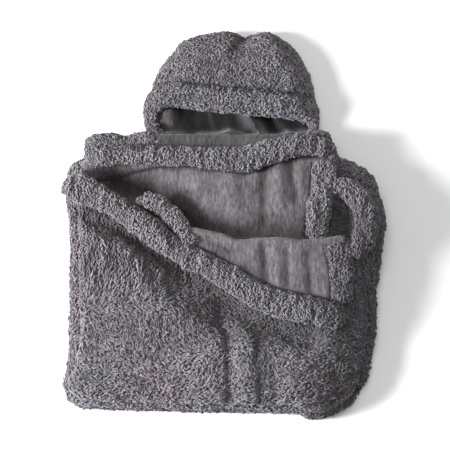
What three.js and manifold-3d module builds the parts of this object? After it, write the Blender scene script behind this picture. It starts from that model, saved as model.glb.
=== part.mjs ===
// A hooded fleece bathrobe, folded flat into a rectangular bundle and lying on its back.
// +X is to the wearer's left, +Y runs from the folded skirt to the crown of the hood, and +Z is up.
// The origin is on the surface it lies on, below the middle of its outline. Sizes are in millimetres.
import * as THREE from "three";
import { mergeVertices } from "three/addons/utils/BufferGeometryUtils.js";
import Module from "manifold-3d";

const wasm = await Module();
wasm.setup();

// ---- Driving dimensions ----
const gap = 0.3; // kept between neighbouring pieces
const reach = 320; // past every piece, for cutting

const backThick = 18; // the back panel with its pile, under everything else
const plyThick = 12.5; // one inner ply of fleece and lining, pressed by what lies on it
const trimSpace = 3.7; // room for the sewn-in trims under the top panels
const frontThick = 13.2; // the uppermost front panel, pile up
const facingThick = 11.2; // the turned-back panel, lining up
const flapThick = 8;

const innerLeft = -222; // the plies inside the outer wrap
const innerRight = 214;
const innerFront = -280;
const innerBack = 126;
const cuffLong = 36;

const neckLine = 137; // the seam between the body and the hood
const flapLine = -50; // where the free corner of the right front panel lifts
const foldLine = -34; // the tuck across the turned-back panel

const hemHigh = 13; // a turned hem is a flat roll
const hemWide = 34;
const hemSpace = 1.6; // left around the front hem by what it crosses

const hoodX = 12; // the hood lies a little to one side of the middle
const hoodY = 172;
const hoodHalfWide = 132;
const hoodLong = 136;
const hoodHigh = 58;
const hoodFullness = 0.86; // below 1, the crown is squarer than a ball
const hoodCloth = 9;
const liningThick = 4;
const brimWide = 32;
const brimThick = 12;
const brimProud = 2; // how far the brim stands out from the crown
const brimFoot = 150; // the brim's front edge where it meets the surface
const brimLean = 0.4; // how far the brim leans back for each millimetre of height

// Heights of the stack, from the surface up.
const sleeveTop = backThick + plyThick;
const skirtMiddle = sleeveTop + plyThick;
const skirtTop = skirtMiddle + plyThick;
const bundleTop = skirtTop + trimSpace;
const frontTop = bundleTop + frontThick;
const facingTop = bundleTop + facingThick;
const hemMiddle = frontTop + gap + hemHigh / 2;

// ---- Colours ----
const fleeceGrey = 0x6f6b6f;
const hemGrey = 0x7d787c;
const liningGrey = 0x6a6262;
const tapeGrey = 0x55525a;
const labelWhite = 0xd8d6d0;

const robe = new THREE.Group();

// ---- Solids ----
function solid(geometry) {
  const bare = geometry.index ? geometry.toNonIndexed() : geometry.clone();
  bare.deleteAttribute("normal");
  bare.deleteAttribute("uv");
  const merged = mergeVertices(bare, 1e-3);
  return new wasm.Manifold(
    new wasm.Mesh({
      numProp: 3,
      vertProperties: merged.getAttribute("position").array,
      triVerts: new Uint32Array(merged.index.array),
    }),
  );
}

function geometryOf(manifold) {
  const mesh = manifold.getMesh();
  const geometry = new THREE.BufferGeometry();
  geometry.setAttribute("position", new THREE.BufferAttribute(mesh.vertProperties, 3));
  geometry.setIndex(new THREE.BufferAttribute(mesh.triVerts, 1));
  geometry.computeVertexNormals();
  return geometry;
}

function within(geometry, keep) {
  return geometryOf(solid(geometry).intersect(solid(keep)));
}

function without(geometry, cutter) {
  return geometryOf(solid(geometry).subtract(solid(cutter)));
}

function add(name, geometry, color, roughness = 0.95) {
  const material = new THREE.MeshStandardMaterial({ color, roughness, metalness: 0 });
  const mesh = new THREE.Mesh(geometry, material);
  mesh.name = name;
  robe.add(mesh);
}

// ---- Shapes ----
function rectangle(x0, x1, y0, y1) {
  return [
    [x0, y0],
    [x1, y0],
    [x1, y1],
    [x0, y1],
  ];
}

// A straight-sided slab over corner points.
function slab(corners, low, high) {
  const outline = new THREE.Shape(corners.map(([x, y]) => new THREE.Vector2(x, y)));
  const geometry = new THREE.ExtrudeGeometry(outline, { depth: high - low, bevelEnabled: false });
  geometry.translate(0, 0, low);
  return geometry;
}

// A ply of cloth over an outline, with a rounded rim.
function ply(outline, low, high, rim) {
  const geometry = new THREE.ExtrudeGeometry(outline, {
    depth: high - low - 2 * rim,
    bevelEnabled: true,
    bevelThickness: rim,
    bevelSize: rim,
    bevelOffset: -rim,
    bevelSegments: 2,
  });
  geometry.translate(0, 0, low + rim);
  return geometry;
}

function roundedPly(x0, x1, y0, y1, low, high) {
  const corners = rectangle(x0, x1, y0, y1).map(([x, y]) => new THREE.Vector2(x, y));
  return ply(new THREE.Shape(corners), low, high, 4);
}

// A rounded ply that stops where the bundle does.
function innerPly(x0, x1, y0, y1, low, high) {
  return within(roundedPly(x0, x1, y0, y1, low, high), ply(bundleOutline(), 0, 2 * bundleTop, 4));
}

// A turned hem: a flat oval section along a smooth level line.
function hem(line, middle, wide, high) {
  const points = line.map(([x, y]) => new THREE.Vector3(x, y, middle));
  const extrudePath = new THREE.CatmullRomCurve3(points, false, "centripetal");
  const sides = 10;
  const section = new THREE.Shape(
    Array.from({ length: sides }, (_, i) => {
      const turn = (2 * Math.PI * i) / sides;
      return new THREE.Vector2((high / 2) * Math.cos(turn), (wide / 2) * Math.sin(turn));
    }),
  );
  const steps = 2 * line.length;
  return new THREE.ExtrudeGeometry(section, { steps, extrudePath, bevelEnabled: false });
}

// ---- Outline of the folded bundle, from its front left corner ----
const outlineCorners = [
  [-249, -262],
  [-232, -287],
  [-190, -292],
  [-60, -296],
  [105, -299],
  [128, -308],
  [158, -306],
  [190, -290],
  [214, -264],
  [226, -230],
  [236, -180],
  [239, -110],
  [248, -50],
  [252, 0],
  [244, 45],
  [238, 68],
  [215, 90],
  [183, 104],
  [174, 124],
  [140, 134],
  [-60, 135],
  [-140, 141],
  [-214, 142],
  [-222, 108],
  [-240, 96],
  [-249, 74],
  [-248, 30],
  [-237, -30],
  [-236, -110],
  [-236, -200],
];

function bundleOutline() {
  const points = outlineCorners.map(([x, y]) => new THREE.Vector3(x, y, 0));
  const curve = new THREE.CatmullRomCurve3(points, true, "centripetal");
  const around = curve.getPoints(64).slice(0, -1);
  return new THREE.Shape(around.map((p) => new THREE.Vector2(p.x, p.y)));
}

// ---- Body: the outer wrap ----
function makeWrap() {
  add("back_panel", ply(bundleOutline(), 0, backThick, 8), fleeceGrey);

  const low = backThick + gap;
  const inside = slab(rectangle(innerLeft, innerRight, innerFront, reach), 0, 2 * bundleTop);
  const wall = without(ply(bundleOutline(), low, bundleTop, 8), inside);
  const sides = [
    ["left_side_fold", rectangle(-reach, innerLeft, innerFront + gap, reach)],
    ["right_side_fold", rectangle(innerRight, reach, innerFront + gap, reach)],
    ["front_fold", rectangle(-reach, reach, -reach, innerFront)],
  ];
  for (const [name, corners] of sides) {
    add(name, within(wall, slab(corners, 0, 2 * bundleTop)), fleeceGrey);
  }
}

// ---- Body: what is folded up inside ----
function makeInnerPlies() {
  const x0 = innerLeft + gap;
  const x1 = innerRight - gap;
  const middle = (x0 + x1) / 2;
  const y0 = innerFront + gap;
  const wrist = innerBack - cuffLong;
  const halves = [
    ["right", x0, middle - gap],
    ["left", middle + gap, x1],
  ];
  for (const [side, from, to] of halves) {
    const low = backThick + gap;
    add(side + "_sleeve", innerPly(from, to, y0, wrist, low, sleeveTop), fleeceGrey);
    add(side + "_cuff", innerPly(from, to, wrist + gap, innerBack, low, sleeveTop), hemGrey);
  }
  add("skirt_lower_ply", innerPly(x0, x1, y0, innerBack, sleeveTop + gap, skirtMiddle), fleeceGrey);
  add("skirt_upper_ply", innerPly(x0, x1, y0, innerBack, skirtMiddle + gap, skirtTop), fleeceGrey);
}

// ---- Body: sewn-in trims, under the turned-back panel ----
function makeTrims() {
  const low = skirtTop + gap;
  const high = bundleTop - gap;
  add("hanging_loop", slab(rectangle(-32, 32, 90, 98), low, high), tapeGrey);
  add("care_label", slab(rectangle(60, 90, 70, 112), low, low + 1), labelWhite, 0.7);
  for (const [side, x] of [
    ["right", -190],
    ["left", 170],
  ]) {
    add(side + "_belt_loop", slab(rectangle(x, x + 12, -120, -50), low, high), tapeGrey);
  }
}

// ---- Body: the panels on top ----
// The turned-back right front panel ends on this line, and the left front panel shows below it.
const frontEdge = [
  [-reach, 93],
  [-158, 6],
  [-104, foldLine],
  [reach, foldLine],
];

function makeTopPanels() {
  const low = bundleTop + gap;
  const below = slab([[-reach, -reach], [reach, -reach], ...[...frontEdge].reverse()], 0, 100);
  const front = ply(bundleOutline(), low, frontTop, 5);
  add("left_front_panel", within(front, below), fleeceGrey);

  const seamRight = 162; // where the facing meets the shoulder side
  const facing = [
    [-222, 41],
    [-158, 6 + gap],
    [-104, foldLine + gap],
    [seamRight, foldLine + gap],
    [seamRight, 104],
    [-60, 102],
    [-216, 96],
  ];
  add("right_front_facing", slab(facing, low, facingTop), liningGrey);

  const beside = slab(rectangle(seamRight + gap, reach, foldLine + gap, innerBack), 0, 100);
  add("side_panel", within(ply(bundleOutline(), low, facingTop, 5), beside), fleeceGrey);
}

// ---- Body: the neck, behind the turned panels ----
function makeNeck() {
  const low = backThick + gap;
  const y0 = innerBack + gap;
  const shoulderTop = bundleTop + 6;
  const neckLeft = -105;
  const neckRight = 125;
  const neckBack = neckLine - 0.5;
  const behind = rectangle(neckLeft, neckRight, y0, neckBack);
  add("back_neck_panel", slab(behind, low, bundleTop), fleeceGrey);
  const onTop = rectangle(neckLeft, neckRight, 105, neckBack);
  add("neck_facing", slab(onTop, bundleTop + gap, bundleTop + 7), liningGrey);
  add("right_shoulder", roundedPly(-212, neckLeft - gap, y0, 142, low, shoulderTop), fleeceGrey);
  add("left_shoulder", roundedPly(neckRight + gap, 170, y0, neckLine, low, shoulderTop), fleeceGrey);
}

// ---- The turned hems ----
// The right front edge runs from the left side of the bundle to the free corner.
const frontHemLine = [
  [-234, 50],
  [-211, 36],
  [-178, 21],
  [-158, 6],
  [-122, -19],
  [-77, -56],
  [-52, -71],
  [-26, -80],
  [7, -105],
  [34, -117],
  [55, -130],
  [90, -143],
  [152, -158],
  [197, -166],
];

function frontHem(extra = 0) {
  return hem(frontHemLine, hemMiddle, hemWide + extra, hemHigh + extra);
}

function makeBodyHems() {
  const clear = frontHem(hemSpace);
  const above = slab(rectangle(-reach, reach, flapLine + gap, reach), 0, 120);
  add("front_hem_side", within(frontHem(), above), hemGrey);

  const neckHem = [
    [-214, 88],
    [-145, 91],
    [-94, 95],
    [-14, 94],
    [25, 92],
    [65, 102],
    [102, 111],
    [135, 114],
    [172, 104],
  ];
  add("neck_hem", hem(neckHem, hemMiddle, 32, hemHigh), hemGrey);

  const facingHem = [
    [158, 82],
    [157, 60],
    [150, 24],
    [147, -32],
  ];
  add("facing_hem", hem(facingHem, hemMiddle, 26, hemHigh), hemGrey);

  const innerHem = [
    [-134, 25],
    [-110, 20],
    [-95, 10],
    [-84, -8],
    [-74, -24],
  ];
  add("inner_hem", without(hem(innerHem, hemMiddle, 18, hemHigh), clear), hemGrey);

  const sideHem = [
    [174, 33],
    [186, 33],
    [204, 26],
    [213, 6],
    [216, -15],
    [209, -34],
  ];
  add("side_hem", hem(sideHem, hemMiddle, 24, hemHigh), hemGrey);

  const tuck = [
    [-55, -20],
    [-30, -30],
    [20, -42],
    [90, -41],
    [186, -41],
  ];
  add("flap_tuck", hem(tuck, hemMiddle - 1, 14, hemHigh - 2), liningGrey);
}

// ---- Flap: the free corner of the right front panel ----
function makeFlap() {
  const clear = frontHem(hemSpace);
  const below = slab(rectangle(-reach, reach, -reach, flapLine - gap), 0, 120);
  add("front_hem_corner", within(frontHem(), below), hemGrey);

  const low = frontTop + gap;
  const edgeLeft = 160;
  const underHem = frontHemLine.filter(([x, y]) => y < flapLine && x < edgeLeft);
  const cloth = [...underHem, [edgeLeft, -159], [edgeLeft, flapLine - gap]];
  const clothSlab = slab(cloth, low, low + flapThick);
  add("flap_facing", without(clothSlab, clear), liningGrey);

  const edge = [
    [181, flapLine - gap],
    [181, -100],
    [181, -155],
  ];
  add("flap_edge_hem", without(hem(edge, hemMiddle, 36, hemHigh), clear), hemGrey);
}

// ---- Hood ----
function fuller(value) {
  return Math.sign(value) * Math.abs(value) ** hoodFullness;
}

// The hood's outline on the surface, closed by a straight line at the front.
function hoodOutline(inset, front) {
  const steps = 24;
  const around = Array.from({ length: steps + 1 }, (_, i) => {
    const turn = (Math.PI * i) / steps;
    const x = hoodX + (hoodHalfWide - inset) * fuller(Math.cos(turn));
    const y = hoodY + (hoodLong - inset) * fuller(Math.sin(turn));
    return [x, y];
  });
  const half = hoodHalfWide - inset - 14;
  return [...around, [hoodX - half, front], [hoodX + half, front]];
}

// A full dome of the hood's shape, set in from the outside on every side.
function dome(inset) {
  const ball = new THREE.SphereGeometry(1, 32, 16);
  const points = ball.getAttribute("position");
  for (let i = 0; i < points.count; i += 1) {
    points.setXYZ(i, fuller(points.getX(i)), fuller(points.getY(i)), fuller(points.getZ(i)));
  }
  ball.scale(hoodHalfWide - inset, hoodLong - inset, hoodHigh - inset);
  ball.translate(hoodX, hoodY, 0);
  return solid(ball);
}

// A slab that leans back with the brim, from the line y0 on the surface.
function leaning(x0, x1, y0, low) {
  const geometry = slab(rectangle(x0, x1, y0, 2 * reach), low, 2 * hoodHigh);
  geometry.applyMatrix4(new THREE.Matrix4().makeShear(0, 0, 0, 0, 0, brimLean));
  return solid(geometry);
}

function makeCrown() {
  const low = hoodCloth + gap;
  const y0 = brimFoot + brimWide + gap;
  const shell = dome(0).subtract(dome(hoodCloth));
  const rightHalf = shell.intersect(leaning(-reach, hoodX - gap, y0, low));
  add("hood_right_panel", geometryOf(rightHalf), fleeceGrey);
  const leftHalf = shell.intersect(leaning(hoodX + gap, reach, y0, low));
  add("hood_left_panel", geometryOf(leftHalf), fleeceGrey);

  const liningLow = low + liningThick + gap;
  const lining = dome(hoodCloth + gap).subtract(dome(hoodCloth + gap + liningThick));
  const behindMouth = leaning(-reach, reach, brimFoot + 2, liningLow);
  add("hood_lining", geometryOf(lining.intersect(behindMouth)), liningGrey);
}

function makeHoodBack() {
  const floor = new THREE.Shape(
    hoodOutline(0, brimFoot - 2).map(([x, y]) => new THREE.Vector2(x, y)),
  );
  add("hood_back_panel", ply(floor, 0, hoodCloth, 3), fleeceGrey);

  const low = hoodCloth + gap;
  const neckFoot = brimFoot + 12;
  const floorLining = hoodOutline(hoodCloth + 10, neckFoot + gap);
  add("hood_back_lining", slab(floorLining, low, low + liningThick), liningGrey);

  // The neck of the hood climbs from the floor to the seam at the top of the bundle.
  const seamHigh = bundleTop - 3;
  const side = [
    [neckLine + 2, seamHigh],
    [neckLine + 2, seamHigh - 12],
    [brimFoot - 4, low],
    [neckFoot, low],
    [neckFoot, low + liningThick],
    [brimFoot + 2, low + liningThick],
    [neckLine + 8, seamHigh],
  ];
  const halfWide = 98;
  const neck = slab(side, -halfWide, halfWide);
  neck.rotateY(Math.PI / 2);
  neck.rotateX(Math.PI / 2);
  neck.translate(hoodX, 0, 0);
  add("hood_neck_panel", neck, liningGrey);
}

// The turned brim arches over the mouth and leans back.
function makeBrim() {
  const arch = new THREE.Shape();
  const outerWide = hoodHalfWide + brimProud;
  const outerHigh = hoodHigh + brimProud;
  arch.absellipse(0, 0, outerWide, outerHigh, 0, Math.PI, false);
  arch.absellipse(0, 0, outerWide - brimThick, outerHigh - brimThick, Math.PI, 0, true);
  const brim = new THREE.ExtrudeGeometry(arch, {
    depth: brimWide,
    bevelEnabled: false,
    curveSegments: 20,
  });
  brim.rotateX(Math.PI / 2);
  brim.translate(hoodX, brimFoot + brimWide, 0);
  brim.applyMatrix4(new THREE.Matrix4().makeShear(0, 0, 0, 0, 0, brimLean));
  const floor = solid(slab(rectangle(-reach, reach, -reach, 2 * reach), -reach, hoodCloth + gap));
  const inside = dome(hoodCloth);
  add("hood_brim", geometryOf(solid(brim).subtract(floor).subtract(inside)), hemGrey);
}

makeWrap();
makeInnerPlies();
makeTrims();
makeTopPanels();
makeNeck();
makeBodyHems();
makeFlap();
makeCrown();
makeHoodBack();
makeBrim();

export default robe;
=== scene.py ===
import math

import bmesh
import bpy
import numpy as np
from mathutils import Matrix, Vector


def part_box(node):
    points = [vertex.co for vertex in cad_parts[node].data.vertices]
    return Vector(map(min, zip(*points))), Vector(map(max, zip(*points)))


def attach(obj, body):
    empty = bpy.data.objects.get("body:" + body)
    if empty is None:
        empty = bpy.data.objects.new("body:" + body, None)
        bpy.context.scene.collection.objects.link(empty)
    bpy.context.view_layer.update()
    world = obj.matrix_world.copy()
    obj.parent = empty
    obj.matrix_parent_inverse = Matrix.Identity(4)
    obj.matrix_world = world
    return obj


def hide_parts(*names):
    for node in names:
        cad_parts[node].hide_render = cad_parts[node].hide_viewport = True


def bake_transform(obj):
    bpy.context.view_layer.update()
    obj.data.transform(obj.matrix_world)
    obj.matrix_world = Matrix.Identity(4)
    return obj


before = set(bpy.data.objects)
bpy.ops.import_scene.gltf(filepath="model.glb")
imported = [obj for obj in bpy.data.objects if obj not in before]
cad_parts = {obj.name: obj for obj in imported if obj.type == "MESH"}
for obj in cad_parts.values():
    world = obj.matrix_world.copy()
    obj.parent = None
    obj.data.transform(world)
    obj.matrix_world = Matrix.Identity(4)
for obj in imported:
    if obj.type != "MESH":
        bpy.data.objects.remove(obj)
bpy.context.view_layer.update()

# Lengths are in millimetres in this script, and become metres when a mesh is made.
MM = 0.001
SEED = 4127
RNG = np.random.default_rng(SEED)
# No lock or shell of cloth comes closer to the floor than this.
FLOOR_GAP = 0.2
# The rings of corners that round off the rim of a slab of cloth.
SLAB_RINGS = 9

# -------- measures of the folded robe


def box_mm(node):
    """Lowest and highest corner of a CAD node, in millimetres."""
    low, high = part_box(node)
    return np.array(low) / MM, np.array(high) / MM


FLOOR_PLY_TOP = box_mm("back_panel")[1][2]
STACK_TOP = box_mm("front_fold")[1][2]
FRONT_LOW = box_mm("left_front_panel")[0][2]
FRONT_TOP = box_mm("left_front_panel")[1][2]
FACING_TOP = box_mm("right_front_facing")[1][2]
HEM_LOW = box_mm("front_hem_side")[0][2]
HEM_TOP = box_mm("front_hem_side")[1][2]
HEM_MIDDLE = (HEM_LOW + HEM_TOP) / 2
HOOD_TOP = box_mm("hood_brim")[1][2]

# The outline of the whole folded bundle, and of the front panel that lies on top of it.
BUNDLE = [
    (-246, -262), (-230, -285), (-190, -290), (-60, -294), (105, -297), (128, -305), (158, -303),
    (188, -288), (211, -263), (223, -230), (233, -180), (236, -110), (244, -50), (252, 6), (243, 45),
    (235, 68), (212, 88), (181, 102), (172, 122), (140, 131), (-60, 132), (-140, 138), (-211, 139),
    (-219, 106), (-237, 94), (-246, 74), (-245, 30), (-239, -30), (-238, -110), (-238, -200),
]
FRONT_PANEL = [
    (-240, 62), (-228, 10), (-222, -60), (-221, -130), (-219, -190), (-226, -232), (-238, -262),
    (-222, -281), (-185, -286), (-60, -290), (60, -292), (105, -293), (130, -301), (156, -298),
    (184, -282), (204, -256), (212, -222), (219, -176), (223, -110), (230, -60), (236, -34),
    (60, -34), (-104, -34), (-158, 6), (-210, 40),
]
FACING = [
    (-214, 62), (-204, 39), (-158, 7), (-104, -33), (20, -33), (162, -33), (162, 40), (162, 104),
    (60, 103), (-60, 102), (-214, 98),
]
SIDE_PANEL = [
    (163, -33), (238, -33), (248, 0), (240, 45), (233, 68), (211, 87), (180, 100), (172, 120),
    (163, 124), (163, 60),
]

# The centre lines of the turned hems, with the width at each point.
FRONT_HEM = [
    (-243, 60, 50), (-222, 45, 44), (-200, 32, 35), (-176, 20, 31), (-150, 3, 35), (-118, -20, 36),
    (-84, -48, 32), (-52, -67, 34), (-25, -80, 31), (5, -99, 35), (32, -116, 37), (56, -130, 38),
    (90, -142, 38), (150, -154, 37), (186, -163, 36),
]
NECK_HEM = [
    (-210, 90, 24), (-192, 95, 24), (-168, 97, 25), (-145, 98, 25), (-94, 97, 25), (-50, 96, 27),
    (-14, 94, 32), (25, 93, 36), (63, 100, 36), (100, 111, 34), (135, 115, 30), (166, 110, 28),
]
NECK_SEAM = [
    (-205, 62), (-146, 76), (-99, 82), (-37, 80), (0, 74), (25, 70), (56, 76), (80, 88), (120, 97),
    (150, 99),
]
# The crease between the neck hem and the shoulder behind it.
NECK_CREASE = [(-218, 112), (-170, 113), (-100, 112)]
FACING_HEM = [(158, 86, 36), (156, 60, 37), (152, 30, 34), (146, 0, 31), (141, -37, 30)]
INNER_HEM = [(-134, 24, 15), (-117, 24, 21), (-98, 15, 25), (-80, -3, 25), (-63, -24, 25), (-47, -48, 24)]
SIDE_HEM = [
    (172, 50, 24), (192, 43, 30), (211, 28, 34), (222, 3, 36), (221, -22, 34), (211, -45, 30),
    (201, -66, 22),
]
FLAP_HEM = [(174, -44, 36), (180, -70, 36), (183, -100, 34), (182, -136, 34)]
FLAP_TOP_EDGE = [
    (-70, -24), (-52, -18), (-30, -22), (0, -29), (22, -38), (54, -36), (90, -35), (121, -39), (160, -35),
    (187, -33),
]

# -------- small geometry helpers


def smooth_line(points, closed=False, step=5.0):
    """Points about `step` apart on a smooth curve through the given ones."""
    points = np.asarray(points, float)
    if closed:
        padded = np.concatenate([points[-1:], points, points[:2]])
        last = points[:1]
    else:
        before = 2 * points[:1] - points[1:2]
        after = 2 * points[-1:] - points[-2:-1]
        padded = np.concatenate([before, points, after])
        last = points[-1:]
    t = np.linspace(0, 1, 12, endpoint=False)[:, None]
    parts = []
    for i in range(len(padded) - 3):
        a, b, c, d = padded[i:i + 4]
        bend = (2 * a - 5 * b + 4 * c - d) * t**2 + (3 * b - a - 3 * c + d) * t**3
        parts.append(b + 0.5 * ((c - a) * t + bend))
    dense = np.concatenate(parts + [last])
    along = np.concatenate([[0], np.cumsum(np.linalg.norm(np.diff(dense, axis=0), axis=1))])
    count = max(4, round(along[-1] / step))
    at = np.linspace(0, along[-1], count + 1)
    even = np.stack([np.interp(at, along, dense[:, k]) for k in range(dense.shape[1])], 1)
    return even[:-1] if closed else even


def distance_to(points, line, closed=False):
    """Distance in plan from each point to a line."""
    xy = points[:, :2]
    starts = np.asarray(line, float)[:, :2]
    ends = np.roll(starts, -1, axis=0)
    best = np.full(len(xy), 1e9)
    for a, b in zip(starts if closed else starts[:-1], ends if closed else ends[:-1]):
        span = b - a
        t = np.clip((xy - a) @ span / (span @ span + 1e-9), 0, 1)
        best = np.minimum(best, np.linalg.norm(xy - a - t[:, None] * span, axis=1))
    return best


def inside(points, outline):
    """Which points lie inside a closed outline, in plan."""
    x, y = points[:, 0], points[:, 1]
    outline = np.asarray(outline, float)
    within = np.zeros(len(points), bool)
    for (ax, ay), (bx, by) in zip(outline[:, :2], np.roll(outline[:, :2], -1, axis=0)):
        crosses = (ay > y) != (by > y)
        at = ax + (y - ay) * (bx - ax) / (by - ay + 1e-9)
        within ^= crosses & (x < at)
    return within


def step_up(value, low, high):
    """0 below `low`, 1 above `high`, and smooth between them."""
    t = np.clip((value - low) / (high - low), 0, 1)
    return t * t * (3 - 2 * t)


def bell(value, width):
    """1 where the value is 0, fading out over `width` to both sides."""
    return np.exp(-(value / width) ** 2)


def lump(points, line, width):
    """1 on a line in plan, fading out over `width` to both sides of it."""
    return bell(distance_to(points, line), width)


def bumps(points, rows, rise=0.0):
    """Adds lumps to `rise`. Each row has a height, a width and a line in plan."""
    for height, width, line in rows:
        rise = rise + height * lump(points, line, width)
    return rise


def scatter(cells, seed):
    """A repeatable random number from -1 to 1 for each whole-number cell."""
    x, y, z = (cells[:, k].astype(np.int64) for k in range(3))
    mixed = (x * 73856093) ^ (y * 19349663) ^ (z * 83492791) ^ (seed * 2654435761)
    mixed = ((mixed ^ (mixed >> 13)) * 1274126177) & 0xFFFFFFFF
    mixed = ((mixed ^ (mixed >> 15)) * 2246822519) & 0xFFFFFFFF
    return mixed / 0x7FFFFFFF - 1


def ripple(points, size, seed):
    """Smooth noise from about -1 to 1, its bumps about `size` apart."""
    scaled = points / size
    cell = np.floor(scaled)
    share = scaled - cell
    share = share * share * (3 - 2 * share)
    total = np.zeros(len(points))
    for corner in np.ndindex(2, 2, 2):
        corner = np.array(corner)
        weight = np.prod(np.where(corner, share, 1 - share), axis=1)
        total += weight * scatter(cell + corner, seed)
    return total


def unit(vectors):
    return vectors / (np.linalg.norm(vectors, axis=-1, keepdims=True) + 1e-12)


# -------- how the pile has settled

BUNDLE_LINE = smooth_line(BUNDLE, closed=True)
# Scales that flatten points to their plan, and that also draw noise out along a lining's length.
IN_PLAN = (1, 1, 0)
LENGTHWAYS = (1, 0.3, 0)
RIGHT_SLOPE = 28
RIM_DROOP = 11
RIM_REACH = 40
SAG = 2.4
MAIN_HOLLOW = [
    (-225, 6), (-185, -3), (-150, -23), (-110, -49), (-60, -86), (0, -126), (60, -164), (130, -188),
]
# Where the stack has sunk under the cloth that lies on it, as rows for bumps().
HOLLOWS = [
    (20, 22, MAIN_HOLLOW),
    (6, 24, [(-60, -112), (-20, -140), (0, -160)]),
    (17, 30, [(-168, 54), (-118, 40), (-76, 2)]),
    (6, 16, [(-60, -14), (60, -24), (150, -26)]),
    (18, 17, [(180, 6), (184, -20)]),
]


def settled(points):
    """How far the stack of plies has sunk at each point, against its height in the middle."""
    x, y = points[:, 0], points[:, 1]
    rim = distance_to(points, BUNDLE_LINE, closed=True)
    slope_from = np.interp(y, [-300, -150, -30, 60], [92, 150, 196, 205])
    right = RIGHT_SLOPE * step_up(x, slope_from, slope_from + 110) * step_up(-y, -120, 20)
    droop = RIM_DROOP * (1 - np.clip(rim / RIM_REACH, 0, 1)) ** 2
    near_neck = step_up(y, 80, 110) * step_up(150 - np.abs(x), 0, 40)
    sag = SAG * ripple(points * IN_PLAN, 95, 11)
    return right + droop * (1 - near_neck) + sag + 1.5 * (1 - near_neck)


def sunk_under(points):
    """How far the stack has sunk where cloth lies on it, with its hollows."""
    return settled(points) + bumps(points, HOLLOWS)


def settle(points):
    """Points of the stack, lowered so that the plies lie on each other as they have settled."""
    moved = points.copy()
    share = np.clip(points[:, 2] / STACK_TOP, 0, 1)
    moved[:, 2] -= share * sunk_under(points)
    return moved


def hem_edge(line, side, gap):
    """The line along a hem's left (1) or right (-1) edge, `gap` away from its cloth."""
    stations = smooth_line(line, step=9)
    ahead = unit(np.gradient(stations[:, :2], axis=0))
    left = np.c_[-ahead[:, 1], ahead[:, 0]]
    return stations[:, :2] + left * (side * (stations[:, 2:] * 0.45 + gap))


FRONT_SEAM = hem_edge(FRONT_HEM, 1, 6)
FACING_SEAM = hem_edge(FACING_HEM, -1, 6)
FLAP_SEAM = hem_edge(FLAP_HEM, -1, 6)


# -------- making meshes


def link(name, mesh):
    made = bpy.data.objects.new(name, mesh)
    bpy.context.scene.collection.objects.link(made)
    return made


def from_faces(name, vertices, faces):
    """An object from vertices in millimetres and lists of corners."""
    mesh = bpy.data.meshes.new(name)
    mesh.from_pydata((np.asarray(vertices) * MM).tolist(), [], [tuple(map(int, f)) for f in faces])
    mesh.validate()
    shape = bmesh.new()
    shape.from_mesh(mesh)
    bmesh.ops.recalc_face_normals(shape, faces=shape.faces)
    shape.to_mesh(mesh)
    shape.free()
    mesh.update()
    mesh.shade_smooth()
    return link(name, mesh)


def vertices_of(obj):
    flat = np.empty(len(obj.data.vertices) * 3, np.float32)
    obj.data.vertices.foreach_get("co", flat)
    return flat.reshape(-1, 3).astype(float) / MM


def set_vertices(obj, vertices):
    obj.data.vertices.foreach_set("co", (vertices * MM).astype(np.float32).ravel())
    obj.data.update()


def normals_of(obj):
    flat = np.empty(len(obj.data.vertices) * 3, np.float32)
    obj.data.vertex_normals.foreach_get("vector", flat)
    return flat.reshape(-1, 3).astype(float)


def apply_modifiers(obj):
    """The object's mesh with its modifiers made real."""
    graph = bpy.context.evaluated_depsgraph_get()
    mesh = bpy.data.meshes.new_from_object(obj.evaluated_get(graph))
    old = obj.data
    obj.modifiers.clear()
    obj.data = mesh
    bpy.data.meshes.remove(old)
    obj.data.shade_smooth()
    return obj


def inset(outline, amount):
    """A closed outline moved inwards by `amount`."""
    ahead = unit(np.roll(outline, -1, axis=0) - np.roll(outline, 1, axis=0))
    area = np.sum(outline[:, 0] * np.roll(outline[:, 1], -1) - np.roll(outline[:, 0], -1) * outline[:, 1])
    inward = np.c_[-ahead[:, 1], ahead[:, 0]] * np.sign(area)
    return outline + inward * amount


def soft_slab(name, outline, low, high, rounding=None, voxel=4.5):
    """A slab of cloth with a rounded rim between two heights, its faces all about the same size."""
    outline = smooth_line(outline, closed=True)
    half = (high - low) / 2
    rounding = half if rounding is None else rounding
    rings = []
    for turn in np.linspace(-90, 90, SLAB_RINGS):
        angle = math.radians(turn)
        ring = inset(outline, rounding * (1 - math.cos(angle)))
        rings.append(np.c_[ring, np.full(len(ring), low + half * (1 + math.sin(angle)))])
    slab = from_faces(name, np.concatenate(rings), tube_faces(SLAB_RINGS, len(outline)))
    remesh = slab.modifiers.new("even faces", "REMESH")
    remesh.mode = "VOXEL"
    remesh.voxel_size = voxel * MM
    return apply_modifiers(slab)


def round_ends(stations, reach):
    """The share of the full size at each station of a roll whose two ends are rounded."""
    along = np.concatenate([[0], np.cumsum(np.linalg.norm(np.diff(stations, axis=0), axis=1))])
    from_end = np.minimum(along, along[-1] - along)
    return np.sqrt(np.clip(1 - (1 - np.clip(from_end / reach, 0, 1)) ** 2, 0.02, 1))


def tube_faces(stations, corners):
    """Corner lists of a closed tube with `corners` vertices at each of its stations."""
    last = (stations - 1) * corners
    faces = []
    for i in range(stations - 1):
        for k in range(corners):
            m = (k + 1) % corners
            faces.append((i * corners + k, i * corners + m, (i + 1) * corners + m, (i + 1) * corners + k))
    return faces + [tuple(range(corners))[::-1], tuple(range(last, last + corners))]


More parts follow.
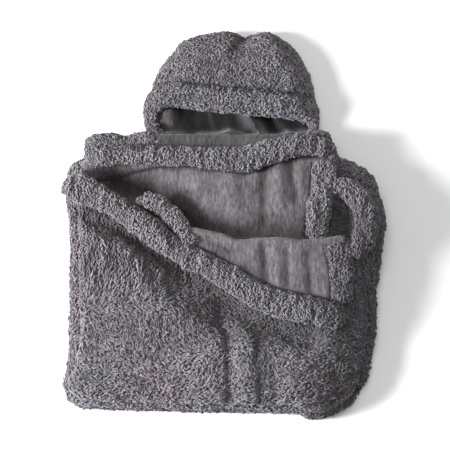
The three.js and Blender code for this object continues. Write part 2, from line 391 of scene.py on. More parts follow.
def roll(name, centres, sides, ups, widths, heights, corners=20, fullness=0.75):
    """A soft roll along a line: an oval of the given width and height at each centre."""
    turn = np.arange(corners) * 2 * math.pi / corners
    across = np.sign(np.cos(turn)) * np.abs(np.cos(turn)) ** fullness
    upward = np.sign(np.sin(turn)) * np.abs(np.sin(turn)) ** fullness
    vertices = [
        centre + np.outer(across * width / 2, side) + np.outer(upward * height / 2, up)
        for centre, side, up, width, height in zip(centres, sides, ups, widths, heights)
    ]
    return from_faces(name, np.concatenate(vertices), tube_faces(len(centres), corners))


def plan_frames(centres):
    """Sideways and upward directions along a line that runs in plan."""
    ahead = unit(np.gradient(centres[:, :2], axis=0))
    sides = np.c_[-ahead[:, 1], ahead[:, 0], np.zeros(len(ahead))]
    ups = np.tile([0.0, 0.0, 1.0], (len(ahead), 1))
    return sides, ups


def roughen(obj, amounts, seed):
    """Pushes vertices along their normals by noise: pairs of bump size and height."""
    vertices, normals = vertices_of(obj), normals_of(obj)
    for i, (size, height) in enumerate(amounts):
        vertices += normals * (ripple(vertices, size, seed + i) * height)[:, None]
    set_vertices(obj, vertices)


def hold_above(obj, height):
    """Lifts vertices that lie below a height up to it."""
    vertices = vertices_of(obj)
    vertices[:, 2] = np.maximum(vertices[:, 2], height)
    set_vertices(obj, vertices)


# -------- the curly pile

# A lock of yarn has a point at each end and three rings of corners between them.
TIP_SHARES = (0.0, 0.25, 0.5, 0.75, 1.0)
LOCK_SIDES = 3
LOCK_CORNERS = 2 + LOCK_SIDES * (len(TIP_SHARES) - 2)
# How much locks differ from each other.
LENGTH_SPREAD = 0.3
THICKNESS_SPREAD = 0.28
TINT_SPREAD = 0.13
# Points are tried this many times for each cell of a grid, which is turned so that no cell lies flat.
TRIES_PER_CELL = 3.2
TURNED_GRID = np.array([[0.8, 0.36, -0.48], [-0.6, 0.48, -0.64], [0.0, 0.8, 0.6]])
# How far out of the pile each corner of a lock stands; the pile's material paints shade on the locks from
# it, darkest at the roots.
LOCK_CROWN = np.array([0] + [0.75] * LOCK_SIDES + [1.0] * LOCK_SIDES + [0.75] * LOCK_SIDES + [0])


def ring_corner(ring, k):
    """The number of a lock's corner in one of its rings."""
    return 1 + LOCK_SIDES * ring + k % LOCK_SIDES


def lock_faces():
    """The triangles of one lock."""
    sides = range(LOCK_SIDES)
    quads = [
        (ring_corner(r, k), ring_corner(r, k + 1), ring_corner(r + 1, k + 1), ring_corner(r + 1, k))
        for r in (0, 1) for k in sides
    ]
    faces = [(0, ring_corner(0, k + 1), ring_corner(0, k)) for k in sides]
    faces += [(LOCK_CORNERS - 1, ring_corner(2, k), ring_corner(2, k + 1)) for k in sides]
    faces += [(a, b, c) for a, b, c, _ in quads]
    return np.array(faces + [(a, c, d) for a, _, c, d in quads])


LOCK_FACES = lock_faces()


def spread_over(obj, spacing, wanted):
    """Random points about `spacing` apart on the faces that `wanted` picks, with their normals."""
    mesh = obj.data
    mesh.calc_loop_triangles()
    corners = np.empty(len(mesh.loop_triangles) * 3, np.int32)
    mesh.loop_triangles.foreach_get("vertices", corners)
    vertices, normals = vertices_of(obj), normals_of(obj)
    a, b, c = (corners.reshape(-1, 3)[:, k] for k in range(3))
    cross = np.cross(vertices[b] - vertices[a], vertices[c] - vertices[a])
    area = np.linalg.norm(cross, axis=1) / 2
    area *= wanted((vertices[a] + vertices[b] + vertices[c]) / 3, unit(cross))
    count = int(TRIES_PER_CELL * area.sum() / spacing**2)
    pick = RNG.choice(len(area), count, p=area / area.sum())
    s, t = np.sqrt(RNG.random(count))[:, None], RNG.random(count)[:, None]
    parts = (1 - s, s * (1 - t), s * t)
    points = sum(w * vertices[k[pick]] for w, k in zip(parts, (a, b, c)))
    facing = unit(sum(w * normals[k[pick]] for w, k in zip(parts, (a, b, c))))
    cells = np.floor(points @ TURNED_GRID / spacing)
    _, first = np.unique(cells, axis=0, return_index=True)
    return points[first], facing[first]


def curl(middles, along, normals, reach, radius, lift):
    """The corners of locks about their middles, each bowed sideways, arched up by `lift` and tilted."""
    count = len(middles)
    side = np.cross(normals, along)
    bow = reach * RNG.uniform(-0.42, 0.42, count)
    rise = lift * RNG.uniform(0.5, 1.3, count)
    tilt = RNG.uniform(-0.45, 0.55, count)
    columns = []
    for share in TIP_SHARES:
        arch = 4 * share * (1 - share)
        centre = middles + along * (reach * (share - 0.5))[:, None] + side * (bow * arch)[:, None]
        centre = centre + normals * (rise * arch + tilt * reach * (share - 0.5))[:, None]
        if arch == 0:
            columns.append(centre)
            continue
        for k in range(LOCK_SIDES):
            angle = 2 * math.pi * k / LOCK_SIDES
            out = side * math.cos(angle) + normals * math.sin(angle)
            columns.append(centre + out * (radius * arch**0.35)[:, None])
    vertices = np.stack(columns, axis=1)
    vertices[..., 2] = np.maximum(vertices[..., 2], FLOOR_GAP)
    return vertices


def grow_pile(cloth, locks, lay, wanted, clump=2.0, lift=2.4, shade=None):
    """Curled locks of yarn over a cloth. `locks` is their spacing, length and thickness, `lay` gives each
    lock's heading and how far it strays, `wanted` picks the faces and `shade` paints shade on the locks
    (painted light where it is negative)."""
    spacing, length, thickness = locks
    points, normals = spread_over(cloth, spacing, wanted)
    count = len(points)
    heading, stray = lay(points)
    yaw = heading + stray * RNG.normal(size=count)
    flat = np.c_[np.cos(yaw), np.sin(yaw), np.zeros(count)]
    along = unit(flat - normals * np.sum(flat * normals, axis=1, keepdims=True))
    clumped = gather(points, heading)
    size = 1 + LENGTH_SPREAD * RNG.normal(size=count).clip(-1.6, 1.8)
    reach = length * size * (1 + 0.15 * clumped)
    radius = thickness / 2 * (1 + THICKNESS_SPREAD * RNG.normal(size=count).clip(-1.5, 1.5))
    sunk = points + normals * (clump * clumped - 0.3)[:, None]
    vertices = curl(sunk, along, normals, reach, radius, lift)
    faces = LOCK_FACES[None] + np.arange(count)[:, None, None] * LOCK_CORNERS
    pile = fast_mesh(cloth.name.replace("cloth", "pile"), vertices.reshape(-1, 3), faces.reshape(-1, 3))
    # Painted shade: the right-hand side is painted darker, and `shade` adds more painted shade (painted
    # light where it is negative). Locks are lighter on the ridges where the pile gathers and darker between
    # them.
    tint = 0.5 + 0.28 * clumped + TINT_SPREAD * RNG.normal(size=count) - painted_right_shade(points)
    if shade:
        tint -= shade(points)
    paint(pile, "lock_tint", np.repeat(np.clip(tint, 0, 1), LOCK_CORNERS))
    paint(pile, "painted_root_shade_height", np.tile(LOCK_CROWN, count))
    return pile


def painted_right_shade(points):
    """Painted shade: how much darker the locks are painted over the robe's right-hand side, which slopes
    away from the key lamp.
    """
    return 0.42 * step_up(points[:, 0], 80, 190) * step_up(-points[:, 1], -70, 60)


def gather(points, heading):
    """Where locks gather in ridges along the way they lie, from about -1 to 1."""
    upright = ripple(points * (1 / 6, 1 / 19, 1 / 9), 1, 71)
    lying = ripple(points * (1 / 17, 1 / 6, 1 / 9), 1, 72)
    share = np.sin(heading) ** 2
    return 1.1 * (share * upright + (1 - share) * lying) + 0.35 * ripple(points, 4.2, 74)


def fast_mesh(name, vertices, triangles):
    """An object from many triangles at once."""
    mesh = bpy.data.meshes.new(name)
    mesh.vertices.add(len(vertices))
    mesh.vertices.foreach_set("co", (vertices * MM).astype(np.float32).ravel())
    mesh.loops.add(len(triangles) * 3)
    mesh.loops.foreach_set("vertex_index", triangles.astype(np.int32).ravel())
    mesh.polygons.add(len(triangles))
    mesh.polygons.foreach_set("loop_start", np.arange(0, len(triangles) * 3, 3, dtype=np.int32))
    mesh.update(calc_edges=True)
    mesh.shade_smooth()
    return link(name, mesh)


def paint(obj, name, values):
    attribute = obj.data.attributes.new(name, "FLOAT", "POINT")
    attribute.data.foreach_set("value", values.astype(np.float32))


def any_way(points):
    """Locks that lie in small swirls."""
    return 2.4 * ripple(points, 30, 73), np.full(len(points), 0.9)


# -------- materials


class Nodes:
    """A material's node tree, with short calls for the nodes that this scene uses."""

    def __init__(self, name):
        self.material = bpy.data.materials.new(name)
        self.material.use_nodes = True
        self.tree = self.material.node_tree
        self.shader = self.tree.nodes["Principled BSDF"]

    def feed(self, socket, value):
        """Links a socket to the one given, or sets it to a value."""
        if isinstance(value, bpy.types.NodeSocket):
            self.tree.links.new(value, socket)
        else:
            socket.default_value = value

    def add(self, kind, inputs=None, **settings):
        node = self.tree.nodes.new(kind)
        for key, value in settings.items():
            setattr(node, key, value)
        for key, value in (inputs or {}).items():
            self.feed(node.inputs[key], value)
        return node

    def place(self, scale=(1, 1, 1)):
        """Object coordinates stretched by three scales."""
        where = self.add("ShaderNodeTexCoord").outputs["Object"]
        return self.add("ShaderNodeMapping", {"Vector": where, "Scale": scale}).outputs["Vector"]

    def noise(self, scale, detail=3.0, roughness=0.55, stretch=(1, 1, 1)):
        inputs = {"Vector": self.place(stretch), "Scale": scale, "Detail": detail, "Roughness": roughness}
        return self.add("ShaderNodeTexNoise", inputs).outputs["Fac"]

    def ramp(self, value, *stops):
        """A colour for the value, from pairs of a value and its colour."""
        node = self.add("ShaderNodeValToRGB", {"Fac": value})
        elements = node.color_ramp.elements
        while len(elements) < len(stops):
            elements.new(0.5)
        for element, (at, colour) in zip(elements, stops):
            element.position = at
            element.color = (*colour, 1)
        return node.outputs["Color"]

    def product(self, first, second):
        """Two colours multiplied. The mix node's sockets 0, 6 and 7 are its factor and its two colours."""
        inputs = {0: 1.0, 6: first, 7: second}
        return self.add("ShaderNodeMix", inputs, data_type="RGBA", blend_type="MULTIPLY").outputs[2]

    def maths(self, kind, first, second):
        return self.add("ShaderNodeMath", {0: first, 1: second}, operation=kind).outputs[0]

    def weighted(self, *parts):
        """The sum of several values, each times its weight."""
        total = None
        for value, weight in parts:
            part = self.maths("MULTIPLY", value, weight)
            total = part if total is None else self.maths("ADD", total, part)
        return total

    def range(self, value, low, high):
        inputs = {"Value": value, "To Min": low, "To Max": high}
        return self.add("ShaderNodeMapRange", inputs).outputs["Result"]

    def attribute(self, name):
        return self.add("ShaderNodeAttribute", attribute_name=name).outputs["Fac"]

    def bump(self, height, strength, distance):
        inputs = {"Height": height, "Strength": strength, "Distance": distance}
        self.set("Normal", self.add("ShaderNodeBump", inputs).outputs["Normal"])

    def set(self, socket, value):
        self.feed(self.shader.inputs[socket], value)


def grey(level, warmth=0.0):
    """A grey of that brightness. Positive warmth leans to mauve-brown, negative to blue."""
    red = 1 + 0.05 * warmth
    green = 0.945 - 0.01 * abs(warmth)
    blue = 1.04 - 0.07 * warmth
    return level * red, level * green, level * blue


def pile_material(name, dark, light):
    """Curled yarn with painted shade at its roots, each lock a little different, in soft patches."""
    nodes = Nodes(name)
    patches = nodes.noise(11, detail=2)
    tint = nodes.maths("ADD", nodes.attribute("lock_tint"), nodes.range(patches, -0.16, 0.16))
    middle = (dark + light) / 2
    yarn = nodes.ramp(tint, (0.0, grey(dark, 0.8)), (0.45, grey(middle, 0.3)), (1.0, grey(light)))
    # Painted shade: each lock is painted darker towards its roots, where the pile shades itself.
    depth = nodes.ramp(nodes.attribute("painted_root_shade_height"), (0.0, (0.6, 0.57, 0.58)), (0.9, (1, 1, 1)))
    hues = nodes.ramp(nodes.noise(6.5, detail=2), (0.36, (1.03, 0.97, 1.0)), (0.64, (0.96, 1.0, 1.03)))
    nodes.set("Base Color", nodes.product(nodes.product(yarn, hues), depth))
    fibres = nodes.noise(1500, detail=2, roughness=0.7)
    nodes.set("Roughness", nodes.range(fibres, 0.72, 0.98))
    nodes.set("Sheen Weight", 0.25)
    nodes.set("Sheen Roughness", 0.55)
    nodes.set("Specular IOR Level", 0.2)
    nodes.bump(fibres, 0.5, 0.0006)
    return nodes.material


def ground_material(name, level):
    """The knitted ground between the locks, painted dark to stand for the shade in the gaps between them.
    """
    nodes = Nodes(name)
    inputs = {"Vector": nodes.place(), "Scale": 420}
    knit = nodes.add("ShaderNodeTexVoronoi", inputs, feature="F1").outputs["Distance"]
    patches = nodes.noise(60)
    shade = nodes.weighted((knit, 0.5), (patches, 0.6))
    colour = nodes.ramp(shade, (0.2, grey(level * 0.55, 0.8)), (0.8, grey(level * 1.5, 0.4)))
    nodes.set("Base Color", colour)
    nodes.set("Roughness", nodes.range(patches, 0.85, 1.0))
    nodes.set("Sheen Weight", 0.15)
    nodes.set("Specular IOR Level", 0.1)
    nodes.bump(knit, 0.7, 0.0012)
    return nodes.material


def lining_material(name, dark, light):
    """A brushed plush lining: fine streaks along the length, soft mottling, a short nap and painted shade
    in its folds.
    """
    nodes = Nodes(name)
    streaks = nodes.noise(150, detail=4, roughness=0.62, stretch=(1.9, 0.55, 1.0))
    mottle = nodes.noise(34)
    nap = nodes.noise(620, roughness=0.7, stretch=(1.4, 0.8, 1.0))
    mixed = nodes.weighted((streaks, 0.55), (mottle, 0.25), (nap, 0.35))
    middle = (dark + light) / 2
    colour = nodes.ramp(mixed, (0.44, grey(dark, 0.9)), (0.57, grey(middle, 0.5)), (0.70, grey(light, 0.2)))
    # Painted shade: the lining is painted darker in its folds and hollows.
    folded = nodes.ramp(nodes.attribute("painted_fold_shade"), (0.0, (1, 1, 1)), (1.0, (0.2, 0.18, 0.18)))
    nodes.set("Base Color", nodes.product(colour, folded))
    nodes.set("Roughness", nodes.range(nap, 0.75, 0.98))
    nodes.set("Sheen Weight", 0.35)
    nodes.set("Sheen Roughness", 0.45)
    nodes.set("Specular IOR Level", 0.15)
    nodes.bump(nodes.weighted((streaks, 0.8), (nap, 0.5)), 0.85, 0.0022)
    return nodes.material


def tape_material(name, level, ribs):
    """Woven tape or thread with a fine rib."""
    nodes = Nodes(name)
    inputs = {"Vector": nodes.place(), "Scale": ribs, "Distortion": 0.6}
    weave = nodes.add("ShaderNodeTexWave", inputs).outputs["Fac"]
    wear = nodes.noise(180)
    shade = nodes.weighted((weave, 0.4), (wear, 0.5))
    colour = nodes.ramp(shade, (0.1, grey(level * 0.7, 0.5)), (0.9, grey(level * 1.25, 0.2)))
    nodes.set("Base Color", colour)
    nodes.set("Roughness", nodes.range(wear, 0.55, 0.85))
    nodes.bump(weave, 0.5, 0.0004)
    return nodes.material


def floor_material():
    nodes = Nodes("pale_floor")
    nodes.set("Base Color", (0.86, 0.86, 0.86, 1))
    nodes.set("Roughness", 0.9)
    nodes.set("Specular IOR Level", 0.1)
    return nodes.material


PILE = pile_material("curly_pile", 0.055, 0.20)
HEM_PILE = pile_material("hem_pile", 0.055, 0.215)
# The ground's dark colour is painted shade for the gaps between the locks.
SHADED_GROUND = ground_material("knit_ground_painted_shade", 0.055)
LINING = lining_material("brushed_lining_cloth", 0.036, 0.155)
# A darker copy of the lining, as painted shade, for the lining inside the hood and at the neck.
SHADED_LINING = lining_material("inner_lining_cloth", 0.022, 0.085)
TAPE = tape_material("woven_tape_cloth", 0.10, 900)
THREAD = tape_material("dark_thread", 0.03, 2000)
LABEL = tape_material("plain_label_cloth", 0.6, 1400)

# -------- finishing each piece


def finish(obj, material, body, nodes=()):
    """Gives a piece its material and body, and hides the CAD nodes that it stands for."""
    obj.data.materials.clear()
    obj.data.materials.append(material)
    if nodes:
        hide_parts(*nodes)
    if body:
        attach(obj, body)
    return obj


def cover(cloth, locks, lay, wanted, node, flat, rests, body="root", share=None, hem=False, **looks):
    pile = grow_pile(cloth, locks, lay, wanted, **looks)
    finish(pile, HEM_PILE if hem else PILE, body)
    finish(cloth, SHADED_GROUND, body, [node])


def upward(points, normals):
    return normals[:, 2] > -0.2


def front_grown(points, normals):
    """The front panel's pile stops short of its hidden top edge."""
    edge = np.interp(points[:, 0], [-120, -60, 240], [20, -46, -40])
    return upward(points, normals) & (points[:, 1] < edge)


def flap_grown(points, normals):
    """Pile all round the hems of the flap, whose undersides show when it is lifted."""
    return upward(points, normals) | (points[:, 1] < -48)


# -------- the front panel and the lining


def pleat(points, line, depth, recover):
    """A fold that drops sharply to the right of a line and comes back up over `recover`."""
    line = np.asarray(line, float)
    at = np.interp(points[:, 1], line[::-1, 1], line[::-1, 0])
    past = points[:, 0] - at
    within = step_up(points[:, 1], line[0, 1] + 22, line[0, 1] - 8)
    return -depth * within * step_up(past, -3, 3) * np.exp(-np.clip(past, 0, None) / recover)


# The front panel's sharp folds: a line, a depth, and how far it takes to come back up.
PLEATS = [
    ([(-14, -150), (-2, -195), (1, -250), (-1, -305)], 11, 9),
    ([(46, -205), (48, -250), (51, -305)], 12, 14),
    ([(73, -240), (76, -305)], 7, 12),
]
# The soft folds and hollows of each cloth, and the painted shade on the front's and the side's pile (a
# negative row is painted light), as rows for bumps().
FRONT_BUMPS = [
    (-7.0, 20, [(-90, -100), (-45, -135), (5, -185)]),
    (-7.0, 20, [(0, -140), (50, -178), (125, -205)]),
    (-6.0, 12, [(-214, 0), (-160, -26), (-110, -62)]),
    (3.0, 40, [(-160, -110), (-140, -230)]),
    (3.5, 24, [(-30, -235), (-26, -285)]),
    (3.0, 12, [(30, -230), (32, -285)]),
    (3.0, 26, [(-235, -265), (-200, -270)]),
]
# Painted shade on the front's pile: under the side loop, in the hollows, along the two creases; the last
# row is painted light.
FRONT_PAINTED_SHADE = [
    (0.5, 7, [(194, -80), (214, -62), (240, -28)]),
    (0.26, 24, MAIN_HOLLOW),
    (0.24, 30, [(-90, -105), (-30, -150), (20, -175), (80, -200)]),
    (0.55, 5, [(8, -190), (10, -300)]),
    (0.5, 8, [(44, -172), (60, -215), (64, -300)]),
    (-0.2, 45, [(-110, -240), (-20, -240)]),
]
FACING_BUMPS = [
    (-10, 28, [(-170, 64), (-115, 46), (-70, 5)]),
    (-8, 22, [(-60, -10), (60, -20), (150, -22)]),
    (4.5, 15, [(12, 80), (14, 10)]),
    (4.5, 9, [(86, 90), (88, 20)]),
    (-4.5, 8, [(65, 92), (62, -5)]),
    (-4.5, 8, [(106, 85), (112, 30)]),
    (2.0, 14, [(-40, 70), (-30, 5)]),
    (-2.5, 7, [(130, 70), (128, 0)]),
    (-2.5, 4, NECK_SEAM),
]
SIDE_BUMPS = [
    (-5, 14, [(180, 6), (183, -22)]),
    (3, 16, [(205, 75), (185, 100)]),
    (-4, 8, [(176, 66), (214, 58)]),
]
# Painted shade on the side panel's pile: in the hollow inside the side hem's loop and in the groove above
# it.
SIDE_PAINTED_SHADE = [
    (0.7, 17, [(178, 8), (184, -24)]),
    (0.3, 9, [(168, 66), (212, 60)]),
]


def front_heights(points):
    """The creases and hollows of the front panel, as heights to add to its top."""
    plan = points * IN_PLAN
    rise = bumps(points, FRONT_BUMPS, sum(pleat(points, *row) for row in PLEATS))
    return rise + 1.8 * ripple(plan, 48, 21) + 1.1 * ripple(plan, 19, 22)


def facing_heights(points):
    """The soft folds of the lining between the neck hem and the tuck."""
    plan = points * LENGTHWAYS
    return bumps(points, FACING_BUMPS) + 0.8 * ripple(plan, 17, 31) + 0.5 * ripple(plan, 7, 32)


def side_heights(points):
    """The dark hollow inside the side hem's loop."""
    return bumps(points, SIDE_BUMPS) + 1.2 * ripple(points * IN_PLAN, 30, 41)


def laid_slab(name, outline, low, high, heights, voxel=4.5, sinking=sunk_under, gap=0.0):
    """A slab with its top shaped by `heights`, its underside `gap` above `low`, sunk with the stack."""
    slab = soft_slab(name, outline, low + gap, high, voxel=voxel)
    vertices = vertices_of(slab)
    share = (vertices[:, 2] - low) / (high - low)
    vertices[:, 2] += heights(vertices) * np.clip(share, 0, 1) ** 0.7
    vertices[:, 2] -= sinking(vertices)
    set_vertices(slab, vertices)
    return slab


def paint_shade_in_folds(cloth, heights, deepest, seams):
    """Painted shade: darkens a lining in its folds, most at the depth `deepest`, and along its seams beside
    the hems.
    """
    plan = vertices_of(cloth) * IN_PLAN
    sewn = sum(lump(plan, line, 2.5) for line in seams)
    paint(cloth, "painted_fold_shade", np.clip(-heights(plan) / deepest + 0.6 * sewn, 0, 1))


def combed(points):
    """1 at the upper left of the front panel, where the pile lies straight, and 0 elsewhere."""
    return step_up(points[:, 1], -190, -60) * step_up(-points[:, 0], -60, 60)


def front_painted_shade(points):
    """Painted shade on the front panel's pile: under the front hem and the side loop, in the hollows and
    creases, in streaks at the upper left, and a patch of painted light lower down on the left.
    """
    painted_dark = 0.85 * lump(points, hem_edge(FRONT_HEM, -1, 9), 12)
    painted_dark += combed(points) * (0.08 + 0.42 * ripple(points * (1 / 9, 1 / 36, 0), 1, 24))
    return bumps(points, FRONT_PAINTED_SHADE, painted_dark)


def front_lay(points):
    """Locks run up and down at the upper left, and in drifting swirls further down and to the right."""
    straight = combed(points)
    swirl = -0.5 + 1.3 * ripple(points * IN_PLAN, 60, 23)
    return straight * math.pi / 2 + (1 - straight) * swirl, 0.35 + 0.2 * (1 - straight)


# Painted shade in the side panel's pile.
def side_painted_shade(points):
    return bumps(points, SIDE_PAINTED_SHADE)


def make_front_panel():
    cloth = laid_slab("left_front_cloth", FRONT_PANEL, FRONT_LOW, FRONT_TOP, front_heights)
    cover(
        cloth, (2.85, 8.6, 2.6), front_lay, front_grown, "left_front_panel", (500, 350),
        "skirt_upper_cloth", share=0.85, shade=front_painted_shade,
    )


def make_facing():
    cloth = laid_slab("right_facing_lining", FACING, FRONT_LOW, FACING_TOP, facing_heights, voxel=3.2)
    paint_shade_in_folds(cloth, facing_heights, 11, (NECK_SEAM, FACING_SEAM))
    finish(cloth, LINING, "root", ["right_front_facing"])
    return cloth


def make_side_panel():
    cloth = laid_slab("right_front_side_cloth", SIDE_PANEL, FRONT_LOW, FACING_TOP, side_heights, voxel=3.6)
    cover(
        cloth, (2.75, 7.0, 2.3), any_way, upward, "side_panel", (90, 160), "skirt_upper_cloth",
        share=0.85, shade=side_painted_shade,
    )


# -------- the folded sides and hidden plies

FOLD_WIDTH = 34
FOLD_ROUNDING = 9
FOLD_PLIES = 2
PLY_GAP = 0.4
# How far a hidden ply stays inside its CAD box, at the box's low and high corner.
PLY_MARGIN_LOW = np.array([14, 14, 0])
PLY_MARGIN_HIGH = np.array([14, 8, 0])


def fold_profile(height):
    """A closed outline of stacked folds: their rounded edges on one side, flat on the other."""
    points = []
    each = height / FOLD_PLIES
    for ply in range(FOLD_PLIES):
        for turn in np.linspace(-80, 80, 7):
            angle = math.radians(turn)
            across = FOLD_WIDTH / 2 - FOLD_ROUNDING + FOLD_ROUNDING * math.cos(angle)
            points.append((across, each * (ply + 0.5 + 0.5 * math.sin(angle))))
    behind = FOLD_WIDTH / 2 - 12
    points += [(behind, height), (-FOLD_WIDTH / 2, height), (-FOLD_WIDTH / 2, 0), (behind, 0)]
    return np.array(points)


def sink(cloth):
    """Lowers a cloth of the stack as the stack has settled."""
    set_vertices(cloth, settle(vertices_of(cloth)))


def make_fold(name, line):
    """A side of the bundle where plies fold over, carried along part of the outline."""
    sides, _ = plan_frames(line)
    middle = BUNDLE_LINE.mean(axis=0)
    outward = np.sign(np.sum(sides[:, :2] * (line - middle), axis=1, keepdims=True)) * sides
    low = FLOOR_PLY_TOP + PLY_GAP
    profile = fold_profile(STACK_TOP - PLY_GAP - low)
    rings = []
    for point, out, size in zip(line, outward, round_ends(line, 10)):
        base = np.array([point[0], point[1], low]) - out * FOLD_WIDTH / 2
        rings.append(base + np.outer(profile[:, 0] * size, out) + np.outer(profile[:, 1], (0, 0, 1)))
    fold = from_faces(name, np.concatenate(rings), tube_faces(len(line), len(profile)))
    roughen(fold, [(34, 2.2), (13, 0.8)], 51)
    sink(fold)
    return fold


def outer_side(points, normals):
    """Faces at the rim of the bundle that look outwards or up."""
    middle = np.array([0.0, -80.0])
    outwards = np.sum(unit(points[:, :2] - middle) * normals[:, :2], axis=1)
    near_rim = distance_to(points, BUNDLE_LINE, closed=True) < 30
    return near_rim & ((outwards > -0.1) | (normals[:, 2] > 0.3)) & (normals[:, 2] > -0.6)


def rim_lay(points):
    """Locks that hang down the sides of the bundle."""
    toward = np.arctan2(points[:, 1] + 80, points[:, 0])
    return toward, np.full(len(points), 0.9)


def rim_painted_light(points):
    """Painted light: the left half of the front edge is painted lighter, for the light it takes from the
    floor.
    """
    return -0.28 * step_up(-points[:, 1], 272, 288) * step_up(-points[:, 0], -30, 10)


def outline_part(keep):
    """The run of the bundle's outline that `keep` picks."""
    kept = keep(BUNDLE_LINE)
    start = np.flatnonzero(kept & ~np.roll(kept, 1))[0]
    ordered = np.roll(np.arange(len(BUNDLE_LINE)), -start)
    return BUNDLE_LINE[ordered[: kept.sum()]]


def make_folds():
    runs = {
        "left_side_fold": (lambda p: (p[:, 0] < -200) & (p[:, 1] > -276), (430, 74)),
        "right_side_fold": (lambda p: (p[:, 0] > 150) & (p[:, 1] > -262) | (p[:, 0] > 212), (450, 72)),
        "front_fold": (lambda p: (p[:, 1] < -270), (470, 76)),
    }
    for node, (keep, flat) in runs.items():
        cloth = make_fold(node + "_cloth", outline_part(keep))
        cover(cloth, (3.5, 7.5, 2.6), rim_lay, outer_side, node, flat, "back_cloth", shade=rim_painted_light)


def make_back():
    cloth = soft_slab("back_cloth", BUNDLE, 0.5, FLOOR_PLY_TOP, voxel=6)
    sink(cloth)
    cover(cloth, (3.9, 7.5, 2.6), rim_lay, outer_side, "back_panel", (500, 450), "pale_floor")


def rectangle(low, high, corner=14):
    """A rectangular outline with its corners cut."""
    (x0, y0), (x1, y1) = low[:2], high[:2]
    c = corner
    return [
        (x0 + c, y0), ((x0 + x1) / 2, y0), (x1 - c, y0), (x1, y0 + c), (x1, (y0 + y1) / 2), (x1, y1 - c),
        (x1 - c, y1), ((x0 + x1) / 2, y1), (x0 + c, y1), (x0, y1 - c), (x0, (y0 + y1) / 2), (x0, y0 + c),
    ]


def within_bundle(outline, margin):
    """The outline with any point that would stick out of the bundle drawn towards its middle."""
    points = np.asarray(outline, float)
    middle = points.mean(axis=0)
    limit = inset(BUNDLE_LINE, margin)
    for _ in range(60):
        out = ~inside(points, limit)
        points[out] = middle + (points[out] - middle) * 0.98
    return points


def make_inner_ply(node, material):
    """A hidden ply of the folded robe, lying inside the bundle."""
    low, high = box_mm(node)
    shape = within_bundle(rectangle(low + PLY_MARGIN_LOW, high - PLY_MARGIN_HIGH), 12)
    ply = soft_slab(node.replace("_ply", "") + "_cloth", shape, low[2], high[2], voxel=7)
    sink(ply)
    roughen(ply, [(60, 0.5)], 61)
    finish(ply, material, "root", [node])


def make_trim(node, material, slot):
    """A narrow tape or label, lying flat between plies, with a little sag."""
    low, high = box_mm(node)
    long_axis = int(np.argmax((high - low)[:2]))
    start, end = (low + high) / 2, (low + high) / 2
    start[long_axis], end[long_axis] = low[long_axis], high[long_axis]
    share = np.linspace(0, 1, 17)[:, None]
    centres = start + (end - start) * share
    centres[:, 2] += 0.5 * np.sin(share[:, 0] * math.pi * 3)
    centres = settle(centres)
    sides, ups = plan_frames(centres)
    widths = np.full(len(centres), (high - low)[1 - long_axis])
    trim = roll(node + "_piece", centres, sides, ups, widths, np.ones(len(centres)), 12, 0.3)
    return finish(trim, material, "root", [node])


def make_hidden_plies():
    kinds = {
        "hanging_loop": (TAPE, "woven_tape"),
        "care_label": (LABEL, "plain_label"),
        "left_belt_loop": (TAPE, "woven_tape"),
        "right_belt_loop": (TAPE, "woven_tape"),
    }
    trims = [make_trim(node, *kind) for node, kind in kinds.items()]
    make_inner_ply("skirt_upper_ply", LINING)
    make_inner_ply("skirt_lower_ply", SHADED_GROUND)
    for side in ("left", "right"):
        make_inner_ply(f"{side}_sleeve", SHADED_GROUND)
        make_inner_ply(f"{side}_cuff", SHADED_GROUND)


# -------- the turned hems

STITCH_PITCH = 5.5
STITCH_LENGTH = 4.6
STITCH_REACH = 4.0
THREAD_RADIUS = 0.8
THREAD_SIDES = 5
HEM_HEIGHT = HEM_TOP - HEM_LOW
HEM_LOCKS = (2.65, 7.2, 2.45)


def hem_roll(name, line, lift, height):
    """A turned hem lying along a line on the stack, sunk with it."""
    stations = smooth_line(line, step=4.5)
    centres = np.c_[stations[:, :2], np.full(len(stations), HEM_MIDDLE + lift)]
    sides, ups = plan_frames(centres)
    centres[:, 2] -= settled(centres)
    size = round_ends(stations[:, :2], 12)
    hem = roll(name, centres, sides, ups, stations[:, 2] * size * 0.9, height * (0.35 + 0.65 * size))
    roughen(hem, [(26, 1.6), (11, 0.8)], 81)
    return hem


def hem_crease_painted_shade(points):
    """Painted shade in the crease between the front hem and the inner hem, and in the one behind the neck
    hem.
    """
    painted_dark = 0.6 * lump(points, [(-146, 16), (-126, 6), (-107, -11), (-91, -30), (-77, -48)], 6)
    return painted_dark + 0.8 * lump(points, NECK_CREASE, 6)


def hem_grown(points, normals):
    """Pile shows on top of a hem, and parts over the crease at the neck."""
    return upward(points, normals) & (lump(points, NECK_CREASE, 4) < 0.4)


def hem_lay(points):
    return np.full(len(points), math.pi / 2 - 0.2), np.full(len(points), 0.8)


def height_on(points, surfaces):
    """The height of the uppermost cloth under each point in plan; not a number where there is none."""
    top = np.concatenate([vertices_of(surface) for surface in surfaces])
    heights = []
    for x, y in points:
        near = np.hypot(top[:, 0] - x, top[:, 1] - y) < STITCH_REACH
        heights.append(top[near, 2].max() if near.any() else np.nan)
    return np.array(heights)


